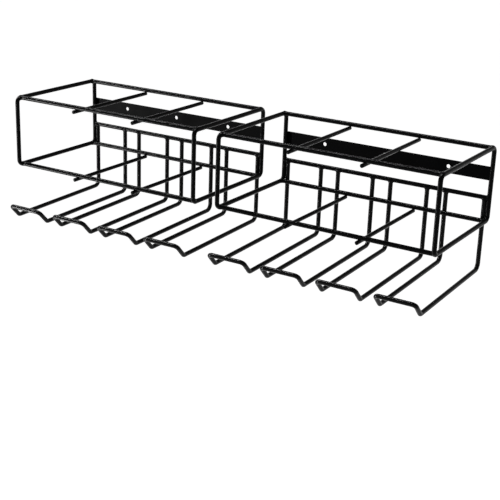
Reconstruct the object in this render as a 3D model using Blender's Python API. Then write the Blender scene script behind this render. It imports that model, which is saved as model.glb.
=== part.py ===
"""Wall mounted power tool organizer.

Two equal racks of welded steel wire hang side by side. Each rack has two side frames, an open top shelf,
an open lower shelf, a flat drilled mounting strip, and four long hooks that a tool's foot rests on.
The origin lies on the wall, midway between the racks and level with the strips' holes.
Sizes are in metres: X runs along the wall, Y points into the wall and Z points up.
"""
import math

import bpy
from mathutils import Vector

# Racks
rack_sides = {"left": -1, "right": 1}
rack_width = 0.410
rack_gap = 0.042

# Wire
wire_diameter = 0.008
cross_wire_diameter = 0.007
wire_sides_resolution = 3
bend_steps = 5

# Side frames
side_frame_depth = 0.234
shelf_spacing = 0.128
side_bend_radius = 0.009

# Mounting strip
strip_height = 0.024
strip_thickness = 0.002
strip_drop = 0.036
strip_corner_radius = 0.002
strip_hole_diameter = 0.007
strip_hole_shares = (0.2, 0.5, 0.8)
hole_steps = 24

# Tool hooks
hooks_per_rack = 4
slot_width = 0.062
hook_rail_drop = 0.089
hook_drop = 0.218
hook_reach = 0.240
arm_fall = 0.005
lip_reach = 0.021
lip_rise = 0.022
hook_bend_radius = 0.012
lip_bend_radius = 0.007

# Cross wires of both shelves
cross_wire_shares = (1 / 3, 2 / 3)
cross_wire_overhang = 0.003

# Gap left between pieces that are welded together
seat_gap = 0.0003

# Colour, roughness and metallic value of the powder coat
coat_colour = (0.012, 0.012, 0.013, 1.0)
coat_roughness = 0.42
coat_metallic = 0.0

# Places that follow from the sizes above
wire_radius = wire_diameter / 2
cross_wire_radius = cross_wire_diameter / 2
touching_wires = wire_diameter + seat_gap
rack_pitch = rack_width + rack_gap
side_frame_x = rack_width / 2 - wire_radius

top_z = strip_height / 2 + strip_drop
lower_z = top_z - shelf_spacing
hook_rail_z = top_z - hook_rail_drop
hook_bottom_z = top_z - hook_drop

back_y = -(strip_thickness + seat_gap + wire_radius)
front_y = back_y - (side_frame_depth - wire_diameter)
back_rail_y = back_y - touching_wires
front_rail_y = front_y + touching_wires

rail_length = 2 * (side_frame_x - wire_radius - seat_gap)
cross_wire_under_rail = wire_radius + seat_gap + cross_wire_radius
cross_wire_front_y = front_rail_y - wire_radius - cross_wire_overhang
cross_wire_length = back_rail_y + wire_radius - cross_wire_front_y

hook_width = slot_width + wire_diameter
hook_top_z = hook_rail_z - wire_radius - seat_gap
outer_hook_x = side_frame_x - touching_wires - hook_width / 2


def clear_scene():
    """Remove whatever the scene holds."""
    for scene_object in list(bpy.data.objects):
        bpy.data.objects.remove(scene_object)


def powder_coat(name):
    """A satin black powder coat."""
    material = bpy.data.materials.new(name)
    material.use_nodes = True
    shader = material.node_tree.nodes["Principled BSDF"]
    shader.inputs["Base Color"].default_value = coat_colour
    shader.inputs["Roughness"].default_value = coat_roughness
    shader.inputs["Metallic"].default_value = coat_metallic
    return material


def bend(before, corner, after, radius):
    """Points of the arc that rounds one corner of a bent wire."""
    towards_before = (before - corner).normalized()
    towards_after = (after - corner).normalized()
    half_angle = towards_before.angle(towards_after) / 2
    middle = (towards_before + towards_after).normalized()
    centre = corner + middle * radius / math.sin(half_angle)
    tangent = radius / math.tan(half_angle)
    first = corner + towards_before * tangent - centre
    last = corner + towards_after * tangent - centre
    turn = math.pi - 2 * half_angle
    points = []
    for step in range(bend_steps + 1):
        done = step / bend_steps
        weight_first = math.sin((1 - done) * turn) / math.sin(turn)
        weight_last = math.sin(done * turn) / math.sin(turn)
        points.append(centre + first * weight_first + last * weight_last)
    return points


def add_path(curve, points, closed=False):
    """Add one run of straight steps through the points to a curve."""
    spline = curve.splines.new("POLY")
    spline.points.add(len(points) - 1)
    for spline_point, place in zip(spline.points, points):
        spline_point.co = (*place, 1)
    spline.use_cyclic_u = closed


def wire_curve(name, points, diameter, material, closed=False):
    """A round wire along the points."""
    curve = bpy.data.curves.new(name, "CURVE")
    curve.dimensions = "3D"
    curve.bevel_depth = diameter / 2
    curve.bevel_resolution = wire_sides_resolution
    curve.use_fill_caps = True
    add_path(curve, points, closed)
    curve.materials.append(material)
    return curve


def side_frame_curve(material):
    """The closed loop at one end of a rack, standing square to the wall."""
    corners = [
        Vector((0, front_y, top_z)),
        Vector((0, front_y, lower_z)),
        Vector((0, back_y, lower_z)),
        Vector((0, back_y, top_z)),
    ]
    points = []
    for index, corner in enumerate(corners):
        after = corners[(index + 1) % len(corners)]
        points += bend(corners[index - 1], corner, after, side_bend_radius)
    return wire_curve("side_frame", points, wire_diameter, material, closed=True)


def rail_curve(material):
    """A straight wire that joins the two side frames, centred on its own origin."""
    ends = [Vector((-rail_length / 2, 0, 0)), Vector((rail_length / 2, 0, 0))]
    return wire_curve("rail", ends, wire_diameter, material)


def cross_wire_curve(material):
    """A thinner wire that runs from a shelf's front rail to its back rail."""
    ends = [Vector((0, 0, 0)), Vector((0, cross_wire_length, 0))]
    return wire_curve("cross_wire", ends, cross_wire_diameter, material)


def tool_hook_curve(material):
    """One wire bent into two uprights, two arms and a raised bar that joins the arms' tips."""
    half = hook_width / 2
    profile = [
        (0, hook_top_z - hook_bottom_z, 0),
        (0, 0, hook_bend_radius),
        (-hook_reach, -arm_fall, lip_bend_radius),
        (-hook_reach - lip_reach, lip_rise - arm_fall, lip_bend_radius),
    ]
    corners = [(Vector((-half, y, z)), radius) for y, z, radius in profile]
    corners += [(Vector((half, y, z)), radius) for y, z, radius in reversed(profile)]
    points = [corners[0][0]]
    for index in range(1, len(corners) - 1):
        before = corners[index - 1][0]
        corner, radius = corners[index]
        after = corners[index + 1][0]
        points += bend(before, corner, after, radius)
    points.append(corners[-1][0])
    return wire_curve("tool_hook", points, wire_diameter, material)


def strip_curve(material):
    """The flat mounting strip with rounded corners and a row of screw holes."""
    curve = bpy.data.curves.new("mounting_strip", "CURVE")
    curve.dimensions = "2D"
    curve.fill_mode = "BOTH"
    curve.extrude = strip_thickness / 2
    half_length = side_frame_x
    half_height = strip_height / 2
    corners = [
        Vector((-half_length, -half_height, 0)),
        Vector((half_length, -half_height, 0)),
        Vector((half_length, half_height, 0)),
        Vector((-half_length, half_height, 0)),
    ]
    outline = []
    for index, corner in enumerate(corners):
        after = corners[(index + 1) % len(corners)]
        outline += bend(corners[index - 1], corner, after, strip_corner_radius)
    add_path(curve, outline, closed=True)
    for share in strip_hole_shares:
        hole_x = (2 * share - 1) * half_length
        hole = []
        for step in range(hole_steps):
            angle = math.tau * step / hole_steps
            direction = Vector((math.cos(angle), math.sin(angle), 0))
            hole.append(Vector((hole_x, 0, 0)) + direction * strip_hole_diameter / 2)
        add_path(curve, hole, closed=True)
    curve.materials.append(material)
    return curve


def place(name, curve, location, parent, collection):
    """Put one piece of a rack at its place on the rack's own empty."""
    piece = bpy.data.objects.new(name, curve)
    piece.location = location
    piece.parent = parent
    collection.objects.link(piece)
    return piece


def build_rack(side, curves, collection):
    """Place every piece of one rack."""
    prefix = side + "_rack_"
    root = bpy.data.objects.new(side + "_rack", None)
    root.location.x = rack_sides[side] * rack_pitch / 2
    collection.objects.link(root)

    for end, direction in (("left", -1), ("right", 1)):
        frame_place = (direction * side_frame_x, 0, 0)
        place(prefix + "side_frame_" + end, curves["side_frame"], frame_place, root, collection)

    rails = {
        "top_front_rail": (0, front_rail_y, top_z),
        "top_back_rail": (0, back_rail_y, top_z),
        "lower_front_rail": (0, front_rail_y, lower_z),
        "lower_back_rail": (0, back_rail_y, lower_z),
        "hook_rail": (0, back_y, hook_rail_z),
    }
    for rail_name, rail_place in rails.items():
        place(prefix + rail_name, curves["rail"], rail_place, root, collection)

    for shelf, rail_z in (("top", top_z), ("lower", lower_z)):
        for number, share in enumerate(cross_wire_shares, start=1):
            wire_x = (2 * share - 1) * side_frame_x
            wire_place = (wire_x, cross_wire_front_y, rail_z - cross_wire_under_rail)
            wire_name = f"{prefix}{shelf}_cross_wire_{number}"
            place(wire_name, curves["cross_wire"], wire_place, root, collection)

    for number in range(hooks_per_rack):
        share = number / (hooks_per_rack - 1)
        hook_place = ((2 * share - 1) * outer_hook_x, back_y, hook_bottom_z)
        place(f"{prefix}tool_hook_{number + 1}", curves["tool_hook"], hook_place, root, collection)

    strip = place(prefix + "mounting_strip", curves["strip"], (0, -strip_thickness / 2, 0), root, collection)
    strip.rotation_euler.x = math.radians(90)


def build_organizer():
    """Make the shared wires and strips once, then place them in both racks."""
    clear_scene()
    collection = bpy.data.collections.new("wall_mounted_power_tool_organizer")
    bpy.context.scene.collection.children.link(collection)
    curves = {
        "side_frame": side_frame_curve(powder_coat("side_frame_coat")),
        "rail": rail_curve(powder_coat("rail_coat")),
        "cross_wire": cross_wire_curve(powder_coat("cross_wire_coat")),
        "tool_hook": tool_hook_curve(powder_coat("tool_hook_coat")),
        "strip": strip_curve(powder_coat("strip_coat")),
    }
    for side in rack_sides:
        build_rack(side, curves, collection)


build_organizer()
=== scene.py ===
"""Dresses the wall mounted power tool organizer for its picture.

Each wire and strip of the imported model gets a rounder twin, with bent corners, flowing welds and
a powder coat. Both racks share one set of meshes.
Sizes are in metres: X runs along the wall, Y points into the wall and Z points up.
"""
import math

import bmesh
import bpy
import numpy as np
from mathutils import Matrix, Vector, noise


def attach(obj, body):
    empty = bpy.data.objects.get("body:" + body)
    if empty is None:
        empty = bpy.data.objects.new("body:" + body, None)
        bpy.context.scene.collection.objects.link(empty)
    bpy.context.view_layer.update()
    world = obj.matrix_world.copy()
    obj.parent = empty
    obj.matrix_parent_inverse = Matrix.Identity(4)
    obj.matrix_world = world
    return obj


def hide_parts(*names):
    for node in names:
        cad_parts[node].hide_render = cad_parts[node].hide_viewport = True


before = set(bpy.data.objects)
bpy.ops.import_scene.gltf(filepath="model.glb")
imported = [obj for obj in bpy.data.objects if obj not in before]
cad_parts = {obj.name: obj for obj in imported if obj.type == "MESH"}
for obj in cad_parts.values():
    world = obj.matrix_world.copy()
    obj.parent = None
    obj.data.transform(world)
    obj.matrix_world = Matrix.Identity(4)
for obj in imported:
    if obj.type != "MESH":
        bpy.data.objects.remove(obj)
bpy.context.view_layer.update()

# Racks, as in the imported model
rack_sides = {"left": -1, "right": 1}
rack_width = 0.410
rack_gap = 0.042
wire_diameter = 0.008
cross_wire_diameter = 0.007

# Side frames
side_frame_depth = 0.234
shelf_spacing = 0.128
side_bend_radius = 0.009

# Mounting strip
strip_height = 0.024
strip_thickness = 0.002
strip_drop = 0.036
strip_corner_radius = 0.002
strip_edge_radius = 0.0004
strip_edge_steps = 4
strip_support_width = 0.0003
strip_hole_diameter = 0.007
strip_hole_shares = (0.2, 0.5, 0.8)
strip_hole_steps = 48

# Tool hooks
hooks_per_rack = 4
slot_width = 0.062
hook_rail_drop = 0.089
hook_drop = 0.218
hook_reach = 0.240
arm_fall = 0.005
lip_reach = 0.021
lip_rise = 0.022
hook_bend_radius = 0.012
lip_bend_radius = 0.007

# Cross wires
cross_wire_shares = (1 / 3, 2 / 3)
cross_wire_overhang = 0.003
seat_gap = 0.0003

# How finely the wires are drawn
wire_sides = 32
bend_step_degrees = 5
fewest_bend_steps = 2
plain_ring_spacing = 0.011
weld_ring_spacing = 0.0006
ring_merge_distance = 0.0003
end_edge_radius = 0.0007
end_edge_steps = 4
butt_bite = 0.0035
same_place = 0.000001
far_away = 1.0

# Welds between touching wires
weld_size = 0.0030
strip_weld_size = 0.0024
weld_touch_limit = 0.0008
weld_step = 0.00006
weld_ripple = 0.30
weld_ripple_scale = 420
unwelded_finishes = {"side_frame_coat", "tool_hook_coat"}

# Powder coat: the scale of its orange peel, how rubbed it is by goods, and its gloss
coat_looks = {
    "side_frame_coat": {"peel_scale": 760, "rub": 0.25},
    "rail_coat": {"peel_scale": 780, "rub": 0.45},
    "cross_wire_coat": {"peel_scale": 820, "rub": 0.55},
    "tool_hook_coat": {"peel_scale": 760, "rub": 0.60, "mirror": 0.07},
    "strip_coat": {"peel_scale": 700, "rub": 0.0, "mirror": 0.012, "roughness": (0.40, 0.48)},
}
wire_mirror = 0.035
wire_roughness = (0.13, 0.19)

# Powder coat: its colours
deep_black = (0.0008, 0.0008, 0.0009, 1)
pale_black = (0.0020, 0.0020, 0.0022, 1)
worn_black = (0.0080, 0.0078, 0.0076, 1)

# Powder coat: the scale of each noise, and its values at no effect and at full effect
gloss_scale = 38
gloss_range = (0.3, 0.7)
grain_per_peel = 2.7
grain_range = (0.35, 0.70)
worn_scale = 22
worn_range = (0.48, 0.66)
facing_up_range = (0.55, 0.98)
worn_polish = 0.06
peel_strength = 0.35
peel_depth = 0.00006

# Camera, fitted to the photograph
camera_place = (1.0562, -1.8110, 0.5089)
camera_azimuth = 31.35
camera_elevation = 19.39
camera_roll = 2.0
camera_lens = 82.8
camera_sensor_width = 36

# Floor, and how far it is lifted towards white where it is seen, not where it lights the racks
floor_z = -2.6
floor_reach = 28
floor_colour = (0.90, 0.90, 0.90, 1)
floor_roughness = 0.8
floor_lift = 0.77
surround_bend = 3
surround_height = 9.7
surround_steps = 8
surround_sides = 96

# Sky, and lamps aimed at the middle of the racks, each with one of its own sides turned upwards
white = (1, 1, 1, 1)
sky_strength = 0.28
rack_middle = (0, -0.13, -0.06)
lamps = {
    "key_lamp": {
        "place": (-1.05, -0.30, 1.75), "width": 1.9, "height": 0.06, "power": 95, "up": "X",
    },
    "side_lamp": {
        "place": (-1.5, -1.35, -0.7), "width": 0.08, "height": 1.3, "power": 50, "up": "Y",
    },
}

# Places that follow from the sizes
wire_radius = wire_diameter / 2
cross_wire_radius = cross_wire_diameter / 2
touching_wires = wire_diameter + seat_gap
rack_pitch = rack_width + rack_gap
side_frame_x = rack_width / 2 - wire_radius
top_z = strip_height / 2 + strip_drop
lower_z = top_z - shelf_spacing
hook_rail_z = top_z - hook_rail_drop
hook_bottom_z = top_z - hook_drop
back_y = -(strip_thickness + seat_gap + wire_radius)
front_y = back_y - (side_frame_depth - wire_diameter)
back_rail_y = back_y - touching_wires
front_rail_y = front_y + touching_wires
rail_reach = side_frame_x - wire_radius + butt_bite
cross_wire_under_rail = wire_radius + seat_gap + cross_wire_radius
cross_wire_front_y = front_rail_y - wire_radius - cross_wire_overhang
cross_wire_back_y = back_rail_y + wire_radius
hook_width = slot_width + wire_diameter
hook_top_z = hook_rail_z - wire_radius + butt_bite
outer_hook_x = side_frame_x - touching_wires - hook_width / 2


def bend(before, corner, after, radius):
    """Points of the arc that rounds one corner of a bent wire."""
    towards_before = (before - corner).normalized()
    towards_after = (after - corner).normalized()
    half_angle = towards_before.angle(towards_after) / 2
    middle = (towards_before + towards_after).normalized()
    centre = corner + middle * radius / math.sin(half_angle)
    tangent = radius / math.tan(half_angle)
    first = corner + towards_before * tangent - centre
    last = corner + towards_after * tangent - centre
    turn = math.pi - 2 * half_angle
    steps = max(fewest_bend_steps, round(math.degrees(turn) / bend_step_degrees))
    points = []
    for step in range(steps + 1):
        done = step / steps
        weight_first = math.sin((1 - done) * turn) / math.sin(turn)
        weight_last = math.sin(done * turn) / math.sin(turn)
        points.append(centre + first * weight_first + last * weight_last)
    return points


def rounded_loop(corners, radius):
    """Points of a closed outline with rounded corners."""
    points = []
    for index, corner in enumerate(corners):
        after = corners[(index + 1) % len(corners)]
        points += bend(corners[index - 1], corner, after, radius)
    return points


def quarter_round(radius, steps):
    """Points of a quarter circle that touches both axes, from (radius, 0) to (0, radius)."""
    angles = [math.pi / 2 * step / steps for step in range(steps + 1)]
    return [(radius * (1 - math.sin(angle)), radius * (1 - math.cos(angle))) for angle in angles]


def side_frame_path(x):
    """The closed loop at one end of a rack."""
    corners = [(front_y, top_z), (front_y, lower_z), (back_y, lower_z), (back_y, top_z)]
    return rounded_loop([Vector((x, y, z)) for y, z in corners], side_bend_radius)


def tool_hook_path(x):
    """Two uprights, two arms and the raised bar across the arms' tips, all one wire."""
    half = hook_width / 2
    profile = [
        (back_y, hook_top_z, 0),
        (back_y, hook_bottom_z, hook_bend_radius),
        (back_y - hook_reach, hook_bottom_z - arm_fall, lip_bend_radius),
        (back_y - hook_reach - lip_reach, hook_bottom_z + lip_rise - arm_fall, lip_bend_radius),
    ]
    corners = [(Vector((x - half, y, z)), radius) for y, z, radius in profile]
    corners += [(Vector((x + half, y, z)), radius) for y, z, radius in reversed(profile)]
    points = [corners[0][0]]
    for index in range(1, len(corners) - 1):
        corner, radius = corners[index]
        points += bend(corners[index - 1][0], corner, corners[index + 1][0], radius)
    points.append(corners[-1][0])
    return points


def rack_wires():
    """Every wire of a rack: its name, path, radius, whether it is a loop, and its finish."""
    wires = []

    def add(name, points, radius, finish, loop=False):
        path = np.array([tuple(point) for point in points])
        wires.append({"name": name, "path": path, "radius": radius, "finish": finish, "loop": loop})

    for end, direction in (("left", -1), ("right", 1)):
        loop_points = side_frame_path(direction * side_frame_x)
        add("side_frame_" + end, loop_points, wire_radius, "side_frame_coat", loop=True)
    rails = {
        "top_front_rail": (front_rail_y, top_z),
        "top_back_rail": (back_rail_y, top_z),
        "lower_front_rail": (front_rail_y, lower_z),
        "lower_back_rail": (back_rail_y, lower_z),
        "hook_rail": (back_y, hook_rail_z),
    }
    for name, (y, z) in rails.items():
        add(name, [(-rail_reach, y, z), (rail_reach, y, z)], wire_radius, "rail_coat")
    for shelf, rail_z in (("top", top_z), ("lower", lower_z)):
        for number, share in enumerate(cross_wire_shares, start=1):
            x = (2 * share - 1) * side_frame_x
            z = rail_z - cross_wire_under_rail
            ends = [(x, cross_wire_front_y, z), (x, cross_wire_back_y, z)]
            add(f"{shelf}_cross_wire_{number}", ends, cross_wire_radius, "cross_wire_coat")
    for number in range(hooks_per_rack):
        x = (2 * number / (hooks_per_rack - 1) - 1) * outer_hook_x
        add(f"tool_hook_{number + 1}", tool_hook_path(x), wire_radius, "tool_hook_coat")
    return wires


def segments_of(wire):
    """The first and last points of each straight step of a wire's path."""
    path = wire["path"]
    if wire["loop"]:
        return path, np.roll(path, -1, axis=0)
    return path[:-1], path[1:]


def wire_ends(wire):
    """The middle of each flat end of a wire, with the direction that it faces."""
    if wire["loop"]:
        return []
    path = wire["path"]
    ends = [(path[0], path[0] - path[1]), (path[-1], path[-1] - path[-2])]
    return [(end, outward / np.linalg.norm(outward)) for end, outward in ends]


def wire_distance(points, wire, box):
    """How far each point lies outside the part of a wire that is in the box."""
    first, last = segments_of(wire)
    low, high = box
    keep = np.all((np.maximum(first, last) >= low) & (np.minimum(first, last) <= high), axis=1)
    first, last = first[keep], last[keep]
    if len(first) == 0:
        return np.full(len(points), far_away)
    along = last - first
    offset = points[:, None, :] - first[None, :, :]
    share = np.einsum("nmk,mk->nm", offset, along) / np.einsum("mk,mk->m", along, along)
    share = np.clip(share, 0, 1)
    gap = offset - share[:, :, None] * along[None, :, :]
    distance = np.sqrt(np.einsum("nmk,nmk->nm", gap, gap).min(axis=1)) - wire["radius"]
    for end, outward in wire_ends(wire):
        offset = points - end
        beyond = offset @ outward
        reach = np.linalg.norm(offset, axis=1)
        aside = np.sqrt(np.maximum(reach**2 - beyond**2, 0)) - wire["radius"]
        facing_end = (beyond > 0) & (reach - wire["radius"] <= distance + same_place)
        distance = np.where(facing_end, np.hypot(np.maximum(aside, 0), beyond), distance)
    return distance


def strip_distance(points):
    """How far each point lies outside the mounting strip."""
    centre = np.array((0, -strip_thickness / 2, 0))
    half = np.array((side_frame_x, strip_thickness / 2, strip_height / 2))
    outside = np.abs(points - centre) - half
    return np.linalg.norm(np.maximum(outside, 0), axis=1) + np.minimum(outside.max(axis=1), 0)


def stations(wire, welded_at):
    """Points along a wire's path: close together at bends and welds, further apart elsewhere."""
    path = wire["path"]
    if wire["loop"]:
        path = np.vstack([path, path[:1]])
    steps = np.linalg.norm(np.diff(path, axis=0), axis=1)
    reached = np.concatenate([[0], np.cumsum(steps)])
    total = reached[-1]

    def points_at(places):
        return np.stack([np.interp(places, reached, path[:, axis]) for axis in range(3)], axis=1)

    count = round(total / weld_ring_spacing)
    fine = np.linspace(0, total, count + 1)
    plain = np.arange(count + 1) % round(plain_ring_spacing / weld_ring_spacing) == 0
    chosen = fine[plain | welded_at(points_at(fine))]
    spare = np.abs(chosen[:, None] - reached[None, :]).min(axis=1) > ring_merge_distance
    places = np.sort(np.concatenate([chosen[spare], reached]))
    if wire["loop"]:
        places = places[:-1]
    return points_at(places)


def ring_frames(points, loop):
    """The wire's direction at each station, with two directions square to it that don't twist."""
    if loop:
        along = np.roll(points, -1, axis=0) - np.roll(points, 1, axis=0)
    else:
        along = np.empty_like(points)
        along[1:-1] = points[2:] - points[:-2]
        along[0] = points[1] - points[0]
        along[-1] = points[-1] - points[-2]
    along /= np.linalg.norm(along, axis=1)[:, None]
    starts_along_x = abs(along[0][0]) >= 0.5
    start = np.array((0, 0, 1.0)) if starts_along_x else np.array((1.0, 0, 0))
    across = np.empty_like(points)
    for index, direction in enumerate(along):
        start = start - direction * start.dot(direction)
        start = start / np.linalg.norm(start)
        across[index] = start
    return along, across, np.cross(along, across)


def rounded_end(points, along, radius):
    """Rings that round off the edge of a cut wire end: their centres and radii."""
    edge = quarter_round(end_edge_radius, end_edge_steps)[1:]
    centres = [points - along * inset for inset, drop in edge]
    return centres, [radius - drop for inset, drop in edge]


def wire_rings(wire, points):
    """The rings around a wire, from one end to the other: their centres, radii and spokes."""
    along, across, upward = ring_frames(points, wire["loop"])
    centres = list(points)
    radii = [wire["radius"]] * len(points)
    rings = list(range(len(points)))
    if not wire["loop"]:
        tail_centres, tail_radii = rounded_end(points[-1], along[-1], wire["radius"])
        head_centres, head_radii = rounded_end(points[0], -along[0], wire["radius"])
        centres[0] = points[0] + along[0] * end_edge_radius
        centres[-1] = points[-1] - along[-1] * end_edge_radius
        centres = head_centres[::-1] + centres + tail_centres
        radii = head_radii[::-1] + radii + tail_radii
        rings = [0] * end_edge_steps + rings + [len(points) - 1] * end_edge_steps
    angles = math.tau * (np.arange(wire_sides) + 0.5) / wire_sides
    spokes = (
        np.cos(angles)[None, :, None] * across[rings][:, None, :]
        + np.sin(angles)[None, :, None] * upward[rings][:, None, :]
    )
    return np.array(centres), np.array(radii), spokes


def weld_out(points, outward, partners, size):
    """How far each point of a wire moves out to lie on the welds between it and its partners."""
    ripple = np.array([noise.noise(Vector(point) * weld_ripple_scale) for point in points])
    blend = size * (1 + weld_ripple * ripple)
    moved = np.zeros(len(points))
    done = before = None
    for step in range(math.ceil(size / weld_step)):
        distance = step * weld_step
        places = points + outward * distance
        joined = np.full(len(points), distance)
        for partner in partners:
            other = partner(places)
            overlap = np.maximum(blend - np.abs(joined - other), 0) / blend
            joined = np.minimum(joined, other) - overlap * overlap * blend / 4
        if before is None:
            done = joined >= 0
        else:
            crossed = ~done & (joined >= 0)
            rise = np.where(crossed, joined - before, 1)
            moved[crossed] = (distance - weld_step * joined / rise)[crossed]
            done |= crossed
        before = joined
    return moved


def weld_partners(wire, wires, box):
    """The other wires that a wire is welded to, and whether it is welded to the strip too."""
    centreline = stations(wire, lambda points: np.ones(len(points), bool))
    partners = []
    for other in wires:
        if other is wire or {other["finish"], wire["finish"]} == unwelded_finishes:
            continue
        nearest = wire_distance(centreline, other, box).min() - wire["radius"]
        if nearest < weld_touch_limit:
            partners.append(other)
    nearest = strip_distance(centreline).min() - wire["radius"]
    return partners, nearest < weld_touch_limit


def tube_faces(rings, sides, loop=False):
    """The faces between each ring of vertices and the next."""
    faces = []
    for ring in range(rings if loop else rings - 1):
        here = ring * sides
        there = ((ring + 1) % rings) * sides
        for side in range(sides):
            beside = (side + 1) % sides
            faces.append((here + side, here + beside, there + beside, there + side))
    return faces


def smooth_mesh(name, vertices, faces):
    """A mesh that is shaded smooth all over."""
    mesh = bpy.data.meshes.new(name)
    mesh.from_pydata(vertices, [], faces)
    mesh.polygons.foreach_set("use_smooth", [True] * len(mesh.polygons))
    return mesh


def wire_mesh(wire, wires):
    """The smooth mesh of one wire, with its share of every weld that it takes part in."""
    first, last = segments_of(wire)
    reach = wire["radius"] + weld_size
    low = np.minimum(first, last).min(axis=0) - reach
    high = np.maximum(first, last).max(axis=0) + reach
    partners, meets_strip = weld_partners(wire, wires, (low, high))

    def welded_at(points):
        welded = np.zeros(len(points), bool)
        for other in partners:
            welded |= wire_distance(points, other, (low, high)) < reach
        if meets_strip:
            welded |= strip_distance(points) < reach
        return welded

    points = stations(wire, welded_at)
    centres, radii, spokes = wire_rings(wire, points)
    surface = centres[:, None, :] + spokes * radii[:, None, None]

    # The welds leave the rounded ends alone
    body = np.isclose(radii, wire["radius"])
    touching = np.repeat((welded_at(centres) & body)[:, None], wire_sides, axis=1)
    if touching.any():
        chosen, outward = surface[touching], spokes[touching]
        box = (chosen.min(axis=0) - reach, chosen.max(axis=0) + reach)
        surfaces = [
            lambda places, other=other: wire_distance(places, other, box) for other in partners
        ]
        moved = weld_out(chosen, outward, surfaces, weld_size)
        if meets_strip:
            strip_moved = weld_out(chosen, outward, [strip_distance], strip_weld_size)
            moved = np.maximum(moved, strip_moved)
        surface[touching] = chosen + outward * moved[:, None]

    vertices = [tuple(place) for place in surface.reshape(-1, 3)]
    faces = tube_faces(len(centres), wire_sides, wire["loop"])
    if not wire["loop"]:
        for ring, end in ((0, points[0]), (len(centres) - 1, points[-1])):
            middle = len(vertices)
            vertices.append(tuple(end))
            for side in range(wire_sides):
                beside = (side + 1) % wire_sides
                corner = (middle, ring * wire_sides + side, ring * wire_sides + beside)
                faces.append(corner if ring else corner[::-1])
    return smooth_mesh(wire["name"], vertices, faces)


def offset_loop(loop, distance):
    """A closed flat outline moved sideways by a distance, inwards where it runs anticlockwise."""
    moved = []
    for index, point in enumerate(loop):
        before = loop[index - 1]
        after = loop[(index + 1) % len(loop)]
        direction = (after - before).normalized()
        moved.append(point + Vector((-direction.y, direction.x)) * distance)
    return moved


def strip_loops():
    """The strip's outline, which runs anticlockwise, and its screw holes, which run clockwise."""
    half_length = side_frame_x
    half_height = strip_height / 2
    corners = [
        Vector((x * half_length, z * half_height, 0))
        for x, z in ((-1, -1), (1, -1), (1, 1), (-1, 1))
    ]
    loops = [[point.xy for point in rounded_loop(corners, strip_corner_radius)]]
    for share in strip_hole_shares:
        centre = Vector(((2 * share - 1) * half_length, 0))
        hole = []
        for step in range(strip_hole_steps):
            angle = -math.tau * step / strip_hole_steps
            direction = Vector((math.cos(angle), math.sin(angle)))
            hole.append(centre + direction * strip_hole_diameter / 2)
        loops.append(hole)
    return loops


def strip_section():
    """The strip's rolled edge, from back to front: how far in from its loop, and off the wall."""
    section = quarter_round(strip_edge_radius, strip_edge_steps)
    section = [(section[0][0] + strip_support_width, 0)] + section
    return section + [(inset, strip_thickness - depth) for inset, depth in reversed(section)]


def strip_mesh():
    """The flat strip with rolled edges, rounded corners and a row of screw holes."""
    form = bmesh.new()
    front_edges, back_edges = [], []
    for loop in strip_loops():
        rings = []
        for inset, depth in strip_section():
            flat = offset_loop(loop, inset)
            rings.append([form.verts.new((point.x, -depth, point.y)) for point in flat])
        count = len(loop)
        for near, far in zip(rings, rings[1:]):
            for index in range(count):
                beside = (index + 1) % count
                form.faces.new((near[index], far[index], far[beside], near[beside]))
        for ring, edges in ((rings[0], back_edges), (rings[-1], front_edges)):
            for index in range(count):
                edges.append(form.edges.get((ring[index], ring[(index + 1) % count])))
    for edges, direction in ((back_edges, 1), (front_edges, -1)):
        bmesh.ops.triangle_fill(form, edges=edges, use_beauty=True, normal=(0, direction, 0))
    bmesh.ops.recalc_face_normals(form, faces=form.faces)
    for face in form.faces:
        face.smooth = True
    mesh = bpy.data.meshes.new("mounting_strip")
    form.to_mesh(mesh)
    form.free()
    return mesh


class Nodes:
    """Short calls for building a material from nodes."""

    def __init__(self, name):
        self.material = bpy.data.materials.new(name)
        self.material.use_nodes = True
        self.tree = self.material.node_tree
        self.shader = self.tree.nodes["Principled BSDF"]

    def add(self, kind, settings=None, **values):
        node = self.tree.nodes.new(kind)
        for key, value in (settings or {}).items():
            setattr(node, key, value)
        for key, value in values.items():
            self.set(node, key.replace("_", " "), value)
        return node

    def set(self, node, socket, value):
        if isinstance(value, bpy.types.NodeSocket):
            self.tree.links.new(value, node.inputs[socket])
        else:
            node.inputs[socket].default_value = value

    def noise(self, place, scale, detail=2, rough=0.5):
        values = {"Vector": place, "Scale": scale, "Detail": detail, "Roughness": rough}
        return self.add("ShaderNodeTexNoise", **values).outputs["Fac"]

    def range(self, value, old_range, new_range=(0, 1)):
        node = self.add("ShaderNodeMapRange")
        self.set(node, "Value", value)
        self.set(node, "From Min", old_range[0])
        self.set(node, "From Max", old_range[1])
        self.set(node, "To Min", new_range[0])
        self.set(node, "To Max", new_range[1])
        return node.outputs["Result"]

    def math(self, operation, first, second):
        node = self.add("ShaderNodeMath", {"operation": operation})
        self.set(node, 0, first)
        self.set(node, 1, second)
        return node.outputs["Value"]

    def mix(self, share, first, second):
        node = self.add("ShaderNodeMix", {"data_type": "RGBA"})
        self.set(node, "Factor", share)
        self.set(node, 6, first)
        self.set(node, 7, second)
        return node.outputs[2]


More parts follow.
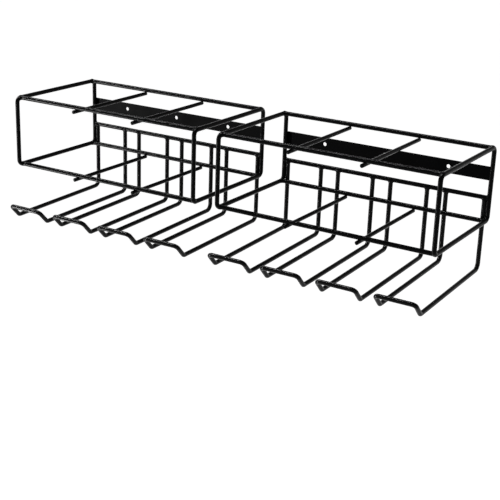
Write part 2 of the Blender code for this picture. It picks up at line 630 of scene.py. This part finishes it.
def powder_coat(name, peel_scale, rub, mirror=wire_mirror, roughness=wire_roughness):
    """Glossy black powder coat: a fine orange peel, a cloudy gloss, and faint rubbing by goods."""
    nodes = Nodes(name)
    place = nodes.add("ShaderNodeTexCoord").outputs["Object"]
    clouds = nodes.noise(place, gloss_scale, detail=3)
    grain = nodes.noise(place, peel_scale * grain_per_peel, detail=1)
    peel = nodes.noise(place, peel_scale, detail=2, rough=0.6)

    surface = nodes.add("ShaderNodeNewGeometry")
    split = nodes.add("ShaderNodeSeparateXYZ", Vector=surface.outputs["Normal"])
    facing_up = nodes.range(split.outputs["Z"], facing_up_range)
    worn_patches = nodes.range(nodes.noise(place, worn_scale, detail=4), worn_range)
    rubbed = nodes.math("MULTIPLY", nodes.math("MULTIPLY", facing_up, worn_patches), rub)

    speckled = nodes.mix(nodes.range(grain, grain_range), deep_black, pale_black)
    nodes.set(nodes.shader, "Base Color", nodes.mix(rubbed, speckled, worn_black))
    gloss = nodes.range(clouds, gloss_range, roughness)
    polish = nodes.math("MULTIPLY", rubbed, worn_polish)
    nodes.set(nodes.shader, "Roughness", nodes.math("SUBTRACT", gloss, polish))
    nodes.set(nodes.shader, "Metallic", 0)
    nodes.set(nodes.shader, "Specular IOR Level", mirror)
    bump = nodes.add("ShaderNodeBump", Strength=peel_strength, Distance=peel_depth, Height=peel)
    nodes.set(nodes.shader, "Normal", bump.outputs["Normal"])
    return nodes.material


def add_object(name, data):
    """A new object in the scene."""
    scene_object = bpy.data.objects.new(name, data)
    bpy.context.scene.collection.objects.link(scene_object)
    return scene_object


def place_piece(name, mesh, x, node):
    """Put one finished piece on a rack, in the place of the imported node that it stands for."""
    piece = add_object(name, mesh)
    piece.location.x = x
    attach(piece, "root")
    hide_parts(node)


def build_racks():
    """Make every piece of a rack once and place it in both racks."""
    coats = {}
    for finish, look in coat_looks.items():
        coats[finish] = powder_coat(finish.replace("coat", "powder_coat"), **look)
    wires = rack_wires()
    meshes = [(wire["name"], wire["finish"], wire_mesh(wire, wires)) for wire in wires]
    meshes.append(("mounting_strip", "strip_coat", strip_mesh()))
    for name, finish, mesh in meshes:
        mesh.materials.append(coats[finish])
        for side, direction in rack_sides.items():
            node = f"{side}_rack_{name}"
            place_piece(node + "_finished", mesh, direction * rack_pitch / 2, node)


def add_floor():
    """A plain pale floor, well below the racks, that curves up into a low surround far away."""
    profile = [(0, 0)]
    for inset, up in quarter_round(surround_bend, surround_steps):
        profile.append((floor_reach - inset, up))
    profile.append((floor_reach, surround_height))
    vertices = []
    for out, up in profile:
        for side in range(surround_sides):
            angle = math.tau * side / surround_sides
            vertices.append((out * math.cos(angle), out * math.sin(angle), floor_z + up))
    faces = [face[::-1] for face in tube_faces(len(profile), surround_sides)]
    mesh = smooth_mesh("floor", vertices, faces)
    floor = add_object("floor", mesh)

    nodes = Nodes("pale_floor")
    nodes.set(nodes.shader, "Base Color", floor_colour)
    nodes.set(nodes.shader, "Roughness", floor_roughness)
    rays = nodes.add("ShaderNodeLightPath").outputs
    mirrored = nodes.math("MAXIMUM", rays["Is Glossy Ray"], rays["Is Transmission Ray"])
    seen = nodes.math("MAXIMUM", rays["Is Camera Ray"], mirrored)
    nodes.set(nodes.shader, "Emission Color", white)
    nodes.set(nodes.shader, "Emission Strength", nodes.math("MULTIPLY", seen, floor_lift))
    mesh.materials.append(nodes.material)


def add_light(name, place, width, height, power, up):
    """A strip lamp aimed at the racks, with the named one of its own sides turned upwards."""
    lamp = bpy.data.lights.new(name, "AREA")
    lamp.shape = "RECTANGLE"
    lamp.size = width
    lamp.size_y = height
    lamp.energy = power
    light = add_object(name, lamp)
    light.location = place
    light.rotation_euler = (Vector(rack_middle) - Vector(place)).to_track_quat("-Z", up).to_euler()


def add_world():
    """An even soft sky."""
    world = bpy.data.worlds.new("studio")
    world.use_nodes = True
    bpy.context.scene.world = world
    sky = world.node_tree.nodes["Background"]
    sky.inputs["Color"].default_value = white
    sky.inputs["Strength"].default_value = sky_strength


def add_camera():
    """The camera at the photograph's viewing angle."""
    lens = bpy.data.cameras.new("camera")
    lens.lens = camera_lens
    lens.sensor_width = camera_sensor_width
    camera = add_object("camera", lens)
    turn = (
        Matrix.Rotation(math.radians(camera_azimuth), 4, "Z")
        @ Matrix.Rotation(math.radians(90 - camera_elevation), 4, "X")
        @ Matrix.Rotation(math.radians(camera_roll), 4, "Z")
    )
    camera.matrix_world = Matrix.Translation(camera_place) @ turn
    bpy.context.scene.camera = camera


add_camera()
build_racks()
add_floor()
add_world()
for lamp_name, lamp_values in lamps.items():
    add_light(lamp_name, **lamp_values)
bpy.context.scene.view_settings.view_transform = "Standard"
